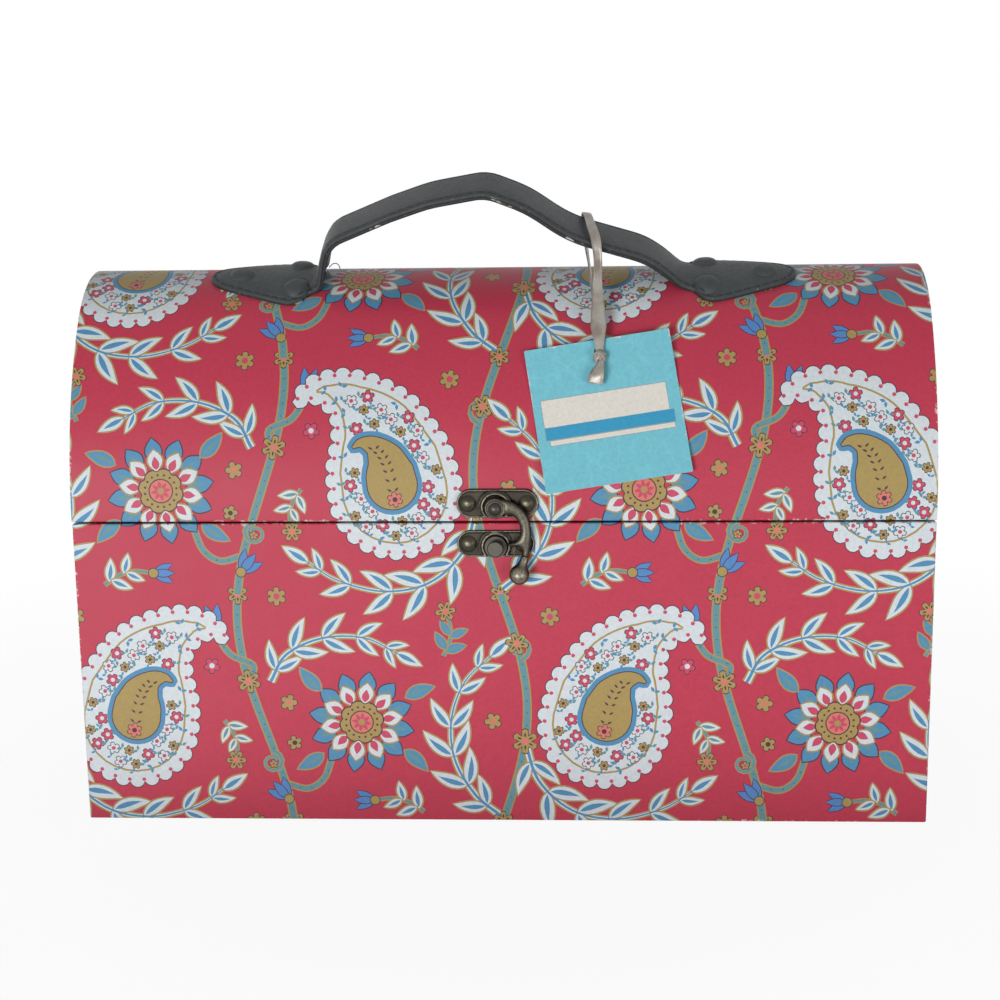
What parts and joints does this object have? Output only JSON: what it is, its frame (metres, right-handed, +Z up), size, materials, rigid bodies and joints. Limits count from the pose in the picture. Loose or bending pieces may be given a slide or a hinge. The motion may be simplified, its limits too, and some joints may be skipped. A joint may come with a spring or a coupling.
{
  "type": "storage trunk",
  "caption": "Domed paperboard keepsake trunk with hinged lid, swing latch, riveted strap handle and a hanging card tag.",
  "frame": {"origin": "middle of the rectangle that the box stands on", "axes": "+X along the box to the right seen from the front, -Y towards the front with the latch, +Z up"},
  "size_m": [0.3, 0.1219, 0.2291],
  "materials": {
    "print_paper": "satin printed paper, crimson ground with a floral print",
    "lining": "matt plain paper",
    "bottom_paper": "matt plain paper",
    "paperboard": "matt greyboard",
    "bronze": "dark antique bronze, satin",
    "strap": "dark grey leatherette, satin",
    "strap_rivet": "dark grey, satin",
    "cap": "dull brass",
    "ribbon": "silver taupe satin",
    "card": "pale blue card, satin"
  },
  "bodies": {
    "base": {"base_bottom_board": "paperboard", "base_front_board": "paperboard", "base_back_board": "paperboard", "base_left_board": "paperboard", "base_right_board": "paperboard", "base_wrap_paper": "print_paper", "base_bottom_sheet": "bottom_paper", "base_lining_paper": "lining", "latch_keeper_plate": "bronze", "latch_keeper_post": "bronze", "latch_keeper_rivets": "bronze", "hinge_base_leaves": "bronze", "hinge_base_rivets": "bronze", "hinge_pins": "bronze"},
    "lid": {"lid_curved_board": "paperboard", "lid_left_end_board": "paperboard", "lid_right_end_board": "paperboard", "lid_wrap_paper": "print_paper", "lid_left_end_paper": "print_paper", "lid_right_end_paper": "print_paper", "lid_lining_paper": "lining", "latch_plate": "bronze", "latch_plate_rivets": "bronze", "latch_pivot_rivet": "bronze", "hinge_lid_leaves": "bronze", "hinge_lid_rivets": "bronze", "handle_strap": "strap", "handle_rivets": "strap_rivet", "handle_rivet_caps": "cap", "tag_ribbon": "ribbon", "ribbon_knot": "ribbon"},
    "latch_arm": {"latch_arm": "bronze"},
    "tag": {"tag_card": "card"}
  },
  "joints": [
    {"name": "lid_hinge", "type": "hinge", "parent": "base", "child": "lid", "pos_m": [0, 0.0569, 0.1097], "axis": [-1, 0, 0], "range_deg": [0, 165]},
    {"name": "latch_arm_pivot", "type": "hinge", "parent": "lid", "child": "latch_arm", "pos_m": [-0.0013, -0.0575, 0.1153], "axis": [0, -1, 0], "range_deg": [-8, 60]},
    {"name": "tag_swing", "type": "hinge", "parent": "lid", "child": "tag", "pos_m": [0.0353, -0.04091, 0.16795], "axis": [0, 0.936, -0.3519], "range_deg": [-12, 20]}
  ]
}
